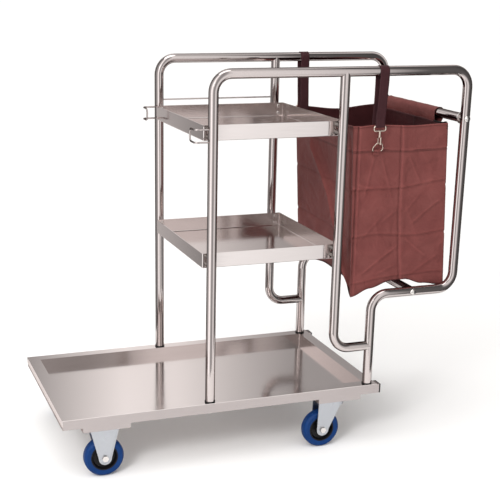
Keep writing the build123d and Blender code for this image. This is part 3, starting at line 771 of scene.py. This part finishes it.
    def front_relief(self, t: float, drop: float, share: float) -> tuple[float, float]:
        """Creases of the front side, with its long slanting fold, and their painted light and
        shade: one face of the fold painted lighter, the other darker.
        """
        from_far = t * 2 * self.half_width
        fold = (drop - 91) - (from_far - 107) * 1.14
        window = smooth_step(62, 100, drop) * smooth_step(0.96, 0.84, t)
        ridge = 6.0 * smooth_step(-60, 0, fold) * smooth_step(70, 0, fold)
        # Painted light on the fold's lit face, then painted shade on its other face.
        painted_light = 0.18 * smooth_step(4, -4, fold) * smooth_step(-150, -20, fold)
        out = (9.0 * bump(fold, 0, 7) + ridge) * window
        painted_shade = (0.4 * bump(fold, 0, 5) + painted_light) * window
        painted_shade -= 0.25 * smooth_step(-2, 8, fold) * smooth_step(60, 10, fold) * window
        out -= 15.0 * math.sin(math.pi * t) * math.sin(math.pi * (0.1 + 0.85 * share))
        for level in FRONT_FOLDS:
            out -= 1.8 * bump(drop, level + 10 * t, 3.5)
            painted_shade -= 0.2 * bump(drop, level + 10 * t, 3)
        return out - 6.0 * bump(t, 0.94, 0.02) * smooth_step(0.02, 0.12, share), painted_shade

    def relief(self, side: int, t: float, drop: float, share: float) -> tuple[float, float]:
        """How far the cloth stands out from the straight side, and its painted light and shade."""
        if side == 1:
            return self.near_relief(t, drop, share)
        if side == 0:
            return self.front_relief(t, drop, share)
        out = -5.5 * math.sin(math.pi * share) * math.sin(math.pi * t) - 2.2 * bump(t, 0.5, 0.011)
        painted_shade = -0.3 * bump(t, 0.5, 0.008)
        for level in BACK_FOLDS:
            out -= 1.8 * bump(drop, level + 8 * t, 3.2)
            painted_shade -= 0.25 * bump(drop, level + 8 * t, 2.6)
        return out, painted_shade

    def wrinkles(self, side: int, here: Vector) -> tuple[float, float]:
        """Fine random wrinkles in millimetres, and their painted light and shade: ridges painted
        lighter and dents darker, with a little random tone.
        """
        ridge = creased(here, 105, 2.7 + side)
        dent = creased(here, 80, 6.1 + side)
        small = creased(here, 36, 4.9 + side)
        out = 3.0 * crumple(here, 130, 3.1 + side) + 1.0 * crumple(here, 52, 8.3 + side)
        out += 1.3 * ridge - 1.2 * dent + 0.4 * small - 0.4
        return out, 0.12 * ridge - 0.05 * dent + 0.08 * small + 0.10 * crumple(here, 70, 9.9)

    def skin(self, side: int, t: float, share: float) -> tuple[Vector, float]:
        """Point on one side at shares t along and down it in millimetres, and its painted light
        and shade.
        """
        top, low = self.rim(side, t), self.foot(side, t)
        point = top.lerp(low, share)
        drop = (top.z - low.z) * share
        push, painted_shade = self.relief(side, t, drop, share)
        push += 1.0 * smooth_step(self.hem + 0.5, self.hem - 0.5, drop)
        push += (-1.8 * bump(drop, self.hem - self.seam_inset, 1.8)
                 - 0.8 * bump(drop, self.rim_stitch, 1.6))
        # Painted shade under the hem's edge with a painted highlight just above it, a painted
        # highlight along the rim, and darker at the very bottom.
        painted_shade += -0.75 * bump(drop, self.hem, 2.2) + 0.3 * bump(drop, self.hem - 6, 2.5)
        painted_shade += (0.35 * bump(drop, 0.0, 2.5) - 0.2 * bump(drop, 5.5, 2.0)
                 - 0.25 * smooth_step(0.97, 1.0, share))
        calm = 0.3 + 0.7 * min(1, share * 4)
        quiet = smooth_step(0.0, 0.05, t) * smooth_step(1.0, 0.95, t) * calm
        rough, wrinkle_painted_shade = self.wrinkles(side, point * MM)
        point += OUTWARD[side] * (push + quiet * rough)
        point.y = min(self.half_width + 0.4, max(-self.half_width - 0.4, point.y))
        return point, max(-1.0, min(1.0, painted_shade + wrinkle_painted_shade))

    def wall(self, side: int, t: float, share: float) -> Vector:
        """Point on one side at shares t along and down it, in millimetres."""
        return self.skin(side, t, share)[0]

    @staticmethod
    def side_at(u: float) -> tuple[int, float]:
        """Side, and the share along it, at a share round the bag."""
        turn = (u % 1.0) * 4
        side = min(3, int(turn))
        return side, turn - side

    def painted_shading(self, u: float, v: float) -> float:
        """Painted light and shade of the skin at shares round and down."""
        return self.skin(*self.side_at(u), v)[1]

    def place(self, u: float, v: float) -> Vector:
        """Row point of the skin at shares round and down."""
        return row(*self.wall(*self.side_at(u), v))

    def bottom(self, u: float, v: float) -> Vector:
        """Row point of the bottom: u from front to rear, v from near to far."""
        front, rear = self.foot(0, 1 - v), self.foot(2, v)
        point = self.foot(1, u).lerp(self.foot(3, 1 - u), v) + front.lerp(rear, u)
        near = self.foot(1, 0).lerp(self.foot(1, 1), u)
        point -= near.lerp(self.foot(3, 1).lerp(self.foot(3, 0), u), v)
        inner = math.sin(math.pi * u) * math.sin(math.pi * v)
        point.z += inner * (3 * crumple(point * MM, 60, 4.4) - 8)
        if bump(point.x, self.bar_x, 22) > 0.4:
            point.z = max(point.z, self.bar_top + self.cloth + 1)
        return row(*point)

    def build(self) -> None:
        """Make the skin, the bottom, the seams and the bindings."""
        around = [0.0]
        for side, count in enumerate(self.side_columns):
            around += [(side + k / count) / 4 for k in range(1, count + 1)]
        sheet = Sheet("bag_skin", *self.skin_weave, around, even(self.row_count), closed=True)
        sides = sheet.build(self.place, self.painted_shading)
        # The inside of the skin takes the painted shade of the bag's shadowed inside.
        thicken(sides, self.cloth, -1.0, painted_back=True)
        settle(sides, Finish.CLOTH, stands_for=("bag_body",), back=Finish.PAINTED_BACK_SHADE)
        # The bottom, inside the bag, is painted dark for shade as well.
        floor = Sheet("bag_bottom", *self.bottom_weave, even(48), even(72)).build(self.bottom)
        thicken(floor, self.cloth, 0.0)
        settle(floor, Finish.PAINTED_BACK_SHADE)
        self.stitching()
        self.bindings()

    def stitching(self) -> None:
        """Lay the thread along the hem and the rim."""
        hem_level = self.hem - self.seam_inset
        for name, level, proud in (("bag_hem_stitch", hem_level, 0.35),
                                   ("bag_rim_stitch", self.rim_stitch, 0.3)):
            points = []
            for side in range(4):
                for k in range(self.stitch_steps):
                    t = k / self.stitch_steps
                    span = self.rim(side, t).z - self.foot(side, t).z
                    on_cloth = self.wall(side, t, level / span)
                    points.append(row(*(on_cloth + OUTWARD[side] * proud)))
            stitch = tube_along(name, points, self.thread, cyclic=True)
            settle(stitch, Finish.THREAD)

    def bindings(self) -> None:
        """Dark binding on the slanting rear edge and the loose thread ends at its corner."""
        steps = 20
        edge = [row(*(self.rim(2, 0.02 + 0.25 * k / steps) + Vector((0.5, 0, 0.5))))
                for k in range(steps + 1)]
        binding = tube_along("bag_edge_binding", edge, self.binding)
        settle(binding, Finish.BINDING)
        corner = self.rim(1, 0.99)
        for index, drop in enumerate((7.0, 13.0)):
            ends = [corner + Vector((-2.5, 1.0, -drop)),
                    corner + Vector((1.2, -0.6, -drop - 0.8)),
                    corner + Vector((3.6, -0.8, -drop - 2.6))]
            points = [row(*point) for point in ends]
            knot = tube_along(f"bag_thread_end_{index}", points, self.thread_end)
            settle(knot, Finish.BINDING)


@dataclass
class Sleeve:
    """The rear flap wrapped loosely round the push bar and hanging a little below it.

    Sizes are in millimetres, and x runs from the deck's front end.

    Attributes:
        bar_x: X of the push bar.
        bar_z: Height of the push bar.
        near_y: Where the sleeve begins across the cart.
        far_y: Where it ends.
        radius: Radius of the loop round the bar.
        sag: How far its lower half hangs down.
        cloth: Thickness of the cloth.
        seam: Radius of the seams at its ends.
        seam_steps: Points of a seam.
        weave: Lengths round and along the loop that the weave is drawn over.
    """

    bar_x: float = 1090.0
    bar_z: float = 885.0
    near_y: float = -100.0
    far_y: float = 186.0
    radius: float = 14.0
    sag: float = 13.0
    cloth: float = 1.2
    seam: float = 0.8
    seam_steps: int = 48
    weave: tuple[float, float] = (98.0, 286.0)

    def place(self, u: float, v: float) -> Vector:
        """Row point: u round the loop from its lower front, v along the bar."""
        y = self.near_y + (self.far_y - self.near_y) * v
        angle = math.radians(215 - 360 * u)
        low = smooth_step(0.25, -0.8, math.sin(angle))
        here = Vector((math.cos(angle) * 0.03, y * MM, math.sin(angle) * 0.03))
        ripple = 0.7 * crumple(here, 42, 6.6) + 0.5 * creased(here, 60, 1.9)
        ripple += 0.7 * low * math.sin(v * 19 + 2 * math.sin(angle))
        radius = self.radius + ripple + 0.5 * (bump(v, 0.0, 0.02) + bump(v, 1.0, 0.02))
        x = self.bar_x + radius * math.cos(angle) - 1.5 * low
        z = self.bar_z + radius * math.sin(angle) - self.sag * low
        return row(x, y, z)

    def end_line(self, v: float) -> list[Vector]:
        """Closed line round one end of the loop."""
        return [self.place(k / self.seam_steps, v) for k in range(self.seam_steps)]

    def build(self) -> None:
        """Make the loop and the dark seams at its ends."""
        sheet = Sheet("bag_sleeve_cloth", *self.weave, even(72), even(110), closed=True)
        loop = sheet.build(self.place)
        thicken(loop, self.cloth, 0.0)
        settle(loop, Finish.CLOTH, stands_for=("bag_sleeve",))
        for name, v in (("near", 0.0), ("far", 1.0)):
            line = tube_along(f"bag_sleeve_seam_{name}", self.end_line(v), self.seam, cyclic=True)
            settle(line, Finish.THREAD)


@dataclass
class Strap:
    """Webbing from inside the bag, over the top rail, down to the snap hook's eye.

    Attributes:
        side: -1 on the near side, 1 on the far side.
        x: Millimetres from the deck's front end.
        width: Width of the webbing.
        thickness: Its thickness.
        rail_y: Distance of the top rail from the cart's middle.
        rail_z: Height of the top rail.
        reach: Distance of the webbing's middle from the rail's.
        eye_y: Distance of the snap hook's eye from the cart's middle.
        eye_z: Height of the eye.
        eye_reach: Distance of the webbing's middle from the eye's.
        rail_steps: Steps over the rail.
        eye_steps: Steps round the eye.
    """

    side: int
    x: float
    width: float = 25.0
    thickness: float = 1.5
    rail_y: float = 232.0
    rail_z: float = 1011.0
    reach: float = 13.6
    eye_y: float = 233.5
    eye_z: float = 873.0
    eye_reach: float = 3.1
    rail_steps: int = 12
    eye_steps: int = 10

    def route(self) -> list[tuple[float, float]]:
        """Points of the webbing's middle line as (distance from the middle, height)."""
        inner = self.rail_y - self.reach
        outer = self.rail_y + self.reach
        # Up the inside of the bag to the rail.
        points = [(212.7, 835.0), (212.7, 857.0), (212.9, 875.0), (214.2, 897.0),
                  (216.6, 922.0), (inner, 952.0), (inner, 982.0), (inner, self.rail_z)]
        for step in range(1, self.rail_steps):
            angle = math.pi * (1 - step / self.rail_steps)
            points.append((self.rail_y + self.reach * math.cos(angle),
                           self.rail_z + self.reach * math.sin(angle)))
        # Down the outside to the eye.
        points += [(outer, self.rail_z), (outer - 0.6, 987.0), (outer - 4.2, 952.0),
                   (outer - 7.8, 912.0), (outer - 10.6, 889.0)]
        for step in range(1, self.eye_steps):
            angle = math.radians(60 - 300 * step / self.eye_steps)
            points.append((self.eye_y + self.eye_reach * math.cos(angle),
                           self.eye_z + self.eye_reach * math.sin(angle)))
        # The end sewn back on itself above the eye.
        points += [(self.eye_y - 1.4, 879.0), (self.eye_y - 0.4, 891.0), (self.eye_y + 0.8, 907.0)]
        return points

    def build(self, name: str) -> None:
        """Make the band."""
        line = self.route()
        lengths = [0.0]
        for (a, b), (c, d) in zip(line, line[1:]):
            lengths.append(lengths[-1] + math.hypot(c - a, d - b))
        total = lengths[-1]

        def place(u: float, v: float) -> Vector:
            """Row point across and along the band."""
            want = v * total
            index = max(i for i, length in enumerate(lengths[:-1]) if length <= want + 1e-9)
            share = (want - lengths[index]) / (lengths[index + 1] - lengths[index])
            y = line[index][0] + (line[index + 1][0] - line[index][0]) * share
            z = line[index][1] + (line[index + 1][1] - line[index][1]) * share
            return row(self.x + (u - 0.5) * self.width, self.side * y, z)

        band = Sheet(f"strap_band_{name}", self.width, total, even(8), even(220)).build(place)
        thicken(band, self.thickness, 0.0)
        settle(band, Finish.WEBBING, stands_for=(f"strap_{name}",))


# Cards round the cart: share of a turn, as Studio.turned gives it, and brightness.
CARDS = (
    (0.0, 0.28), (0.03, 0.20), (0.075, 0.27), (0.11, 0.70), (0.155, 1.0), (0.185, 0.50),
    (0.235, 0.26), (0.30, 0.20), (0.35, 0.10), (0.375, 0.03), (0.40, 0.14), (0.44, 0.34),
    (0.485, 0.60), (0.52, 0.56), (0.54, 0.46), (0.565, 0.34), (0.59, 0.24), (0.64, 0.22),
    (0.69, 0.55), (0.72, 0.65), (0.745, 0.15), (0.80, 0.04), (0.875, 0.08), (0.90, 0.40),
    (0.93, 0.52), (0.975, 0.60), (1.0, 0.28),
)
# Share of red, green and blue in the cards' grey.
CARD_TINT = (1.0, 0.985, 0.98)


@dataclass
class Studio:
    """Pale floor, soft lights and the camera. Lengths are in metres unless named otherwise."""

    # The camera: its place as row takes it, its turns in degrees, its lens, and the lens's
    # shift across and up as shares of the image's side.
    camera_mm: tuple[float, float, float] = (-483.26, -2763.0, 1253.72)
    yaw: float = 19.96
    pitch: float = -17.62
    roll: float = 0.95
    lens_mm: float = 79.40808
    shift: tuple[float, float] = (0.04576, 0.13478)
    far_clip: float = 300.0
    # Half the floor's side, and the heights of the view over which the sky dims from white.
    floor_half: float = 80.0
    sky_band: tuple[float, float] = (0.25, 0.5)
    sky_strength: float = 0.70
    # The ring of cards.
    tent_radius: float = 0.95
    tent_height: float = 2.6
    tent_sides: int = 128
    tent_strength: float = 2.0
    # The overhead light: its spread and its turns about X and Y are in degrees.
    sun_power: float = 1.45
    sun_spread: float = 60.0
    sun_tilt: tuple[float, float] = (14.0, -18.0)
    key_place: tuple[float, float, float] = (-2.2, -2.4, 2.2)
    key_size: float = 0.9
    key_power: float = 60.0

    def camera(self) -> None:
        """Place the camera."""
        yaw, pitch, roll = (math.radians(value) for value in (self.yaw, self.pitch, self.roll))
        ahead = Vector((math.sin(yaw) * math.cos(pitch), math.cos(yaw) * math.cos(pitch),
                        math.sin(pitch)))
        level = Vector((math.cos(yaw), -math.sin(yaw), 0.0))
        over = level.cross(ahead)
        right = math.cos(roll) * level + math.sin(roll) * over
        up = -math.sin(roll) * level + math.cos(roll) * over
        lens = bpy.data.cameras.new("camera")
        lens.sensor_width = SENSOR_MM
        lens.lens = self.lens_mm
        lens.shift_x, lens.shift_y = self.shift
        lens.clip_end = self.far_clip
        holder = add_object("camera", lens)
        turn = Matrix((right, up, -ahead)).transposed().to_4x4()
        holder.matrix_world = Matrix.Translation(row(*self.camera_mm)) @ turn
        bpy.context.scene.camera = holder

    def floor(self) -> None:
        """Large pale floor."""
        mesh = bmesh.new()
        bmesh.ops.create_grid(mesh, x_segments=1, y_segments=1, size=self.floor_half)
        ground = add_mesh("floor", mesh)
        made, tree = new_material("floor_matte_white")
        surface = add_node(
            tree, "ShaderNodeBsdfPrincipled",
            {"Base Color": linear("#f4f3f2"), "Roughness": 0.85, "Specular IOR Level": 0.1})
        close_tree(tree, surface)
        ground.data.materials.append(made)

    def sky(self) -> None:
        """Light from every side, white near the horizon so that it meets the floor unseen."""
        world = bpy.data.worlds.new("studio")
        bpy.context.scene.world = world
        world.use_nodes = True
        tree = world.node_tree
        tree.nodes.clear()
        place = add_node(tree, "ShaderNodeTexCoord").outputs["Generated"]
        axes = add_node(tree, "ShaderNodeSeparateXYZ", None, {"Vector": place})
        strength = remapped(tree, axes.outputs["Z"], self.sky_band, (1.0, self.sky_strength))
        light = add_node(tree, "ShaderNodeBackground", {"Color": linear("#fffefd")},
                         {"Strength": strength})
        add_node(tree, "ShaderNodeOutputWorld", None, {"Surface": light.outputs["Background"]})

    def tent(self) -> None:
        """Ring of light and dark cards round the cart, seen only reflected in polished metal."""
        mesh = bmesh.new()
        ring = bmesh.ops.create_circle(mesh, segments=self.tent_sides, radius=self.tent_radius)
        edges = list({edge for corner in ring["verts"] for edge in corner.link_edges})
        lifted = bmesh.ops.extrude_edge_only(mesh, edges=edges)["geom"]
        for corner in lifted:
            if isinstance(corner, bmesh.types.BMVert):
                corner.co.z = self.tent_height
        cloth = add_mesh("tent", mesh)
        for ray in ("camera", "diffuse", "shadow", "transmission", "volume_scatter"):
            setattr(cloth, f"visible_{ray}", False)
        made, tree = new_material("reflection_cards")
        place = add_node(tree, "ShaderNodeTexCoord").outputs["Object"]
        around = self.ramp(tree, self.turned(tree, place), CARDS)
        light = add_node(tree, "ShaderNodeEmission", {"Strength": self.tent_strength},
                         {"Color": around})
        close_tree(tree, light)
        cloth.data.materials.append(made)

    @staticmethod
    def turned(tree: bpy.types.NodeTree, source: bpy.types.NodeSocket) -> bpy.types.NodeSocket:
        """Share of a turn about Z: 0 along -Y, 0.25 along -X, 0.5 along +Y, 0.75 along +X."""
        axes = add_node(tree, "ShaderNodeSeparateXYZ", None, {"Vector": source})
        angle = add_node(tree, "ShaderNodeMath", {"operation": "ARCTAN2"},
                         {0: axes.outputs["X"], 1: axes.outputs["Y"]})
        return remapped(tree, angle.outputs[0], (-math.pi, math.pi), (0.0, 1.0))

    @staticmethod
    def ramp(tree: bpy.types.NodeTree, source: bpy.types.NodeSocket,
             stops: Sequence[tuple[float, float]]) -> bpy.types.NodeSocket:
        """Nearly grey ramp through (position, value) stops."""
        made = add_node(tree, "ShaderNodeValToRGB", None, {"Fac": source})
        ramp = made.color_ramp
        while len(ramp.elements) < len(stops):
            ramp.elements.new(0.5)
        for element, (position, value) in zip(ramp.elements, stops):
            element.position = position
            element.color = (*(value * share for share in CARD_TINT), 1.0)
        return made.outputs["Color"]

    def lamp(self, name: str, at: tuple[float, float, float], size: float, power: float) -> None:
        """Square soft lamp aimed at the cart's middle."""
        data = bpy.data.lights.new(name, "AREA")
        data.shape = "SQUARE"
        data.size = size
        data.energy = power
        holder = add_object(name, data)
        aim = Vector((0.0, 0.0, 0.5)) - Vector(at)
        holder.rotation_euler = aim.to_track_quat("-Z", "Y").to_euler()
        holder.location = at

    def sun(self) -> None:
        """Very soft overhead light that reaches the whole floor evenly."""
        data = bpy.data.lights.new("overhead_light", "SUN")
        data.angle = math.radians(self.sun_spread)
        data.energy = self.sun_power
        holder = add_object("overhead_light", data)
        holder.rotation_euler = (*(math.radians(value) for value in self.sun_tilt), 0.0)

    def build(self) -> None:
        """Set the whole studio."""
        self.camera()
        self.floor()
        self.sky()
        self.tent()
        self.sun()
        self.lamp("key_lamp", self.key_place, self.key_size, self.key_power)
        bpy.context.scene.view_settings.view_transform = "Standard"


def main() -> None:
    """Build every sub-assembly in order."""
    logging.basicConfig(level=logging.INFO, format="%(name)s: %(message)s")
    Studio().build()
    dress_frame()
    Bag().build()
    Sleeve().build()
    Strap(side=-1, x=842.0).build("near")
    Strap(side=1, x=826.0).build("far")


if __name__ == "__main__":
    main()
